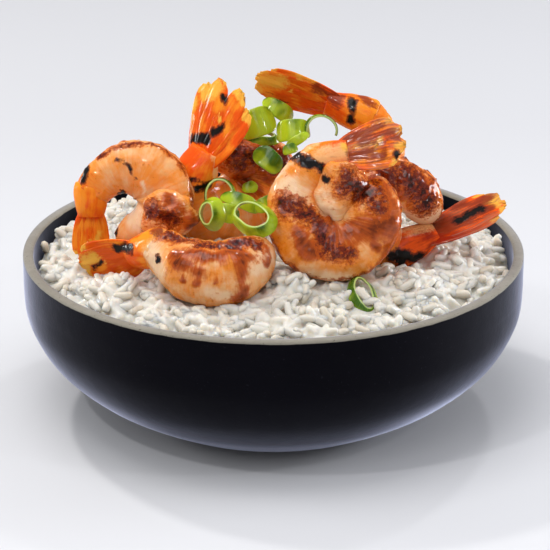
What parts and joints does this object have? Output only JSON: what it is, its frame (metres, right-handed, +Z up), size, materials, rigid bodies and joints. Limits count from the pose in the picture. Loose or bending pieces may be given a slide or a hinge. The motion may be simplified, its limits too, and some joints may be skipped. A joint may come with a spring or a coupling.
{
  "type": "shrimp rice bowl",
  "caption": "Dark stoneware bowl with a bare clay rim, heaped with white rice and topped with glazed tail-on shrimp and slices of scallion.",
  "frame": {"origin": "middle of the bowl's foot ring, on the plane that it rests on", "axes": "+Z up out of the bowl, -Y towards the side that the picture shows, +X to the right in the picture"},
  "size_m": [0.16, 0.16, 0.1059],
  "materials": {
    "stoneware": "matte dark navy stoneware",
    "rice": "moist white boiled rice",
    "shrimp": "seared and glazed shrimp",
    "scallion": "fresh green leaf"
  },
  "bodies": {
    "root": {"bowl": "stoneware", "shrimp_front_right": "shrimp", "shrimp_front_left": "shrimp", "shrimp_left": "shrimp", "shrimp_tail_up": "shrimp", "shrimp_back": "shrimp", "shrimp_right": "shrimp", "scallion_top_wide": "scallion", "scallion_top_back": "scallion", "scallion_top_half": "scallion", "scallion_top_arch": "scallion", "scallion_top_flat": "scallion", "scallion_top_strip": "scallion", "scallion_top_dark": "scallion", "scallion_top_small": "scallion", "scallion_mid_arch": "scallion", "scallion_mid_square": "scallion", "scallion_mid_long": "scallion", "scallion_mid_side": "scallion", "scallion_mid_curl": "scallion", "scallion_mid_leaf": "scallion", "scallion_mid_ring": "scallion", "scallion_rice_ring": "scallion", "rice": "rice"}
  },
  "joints": []
}
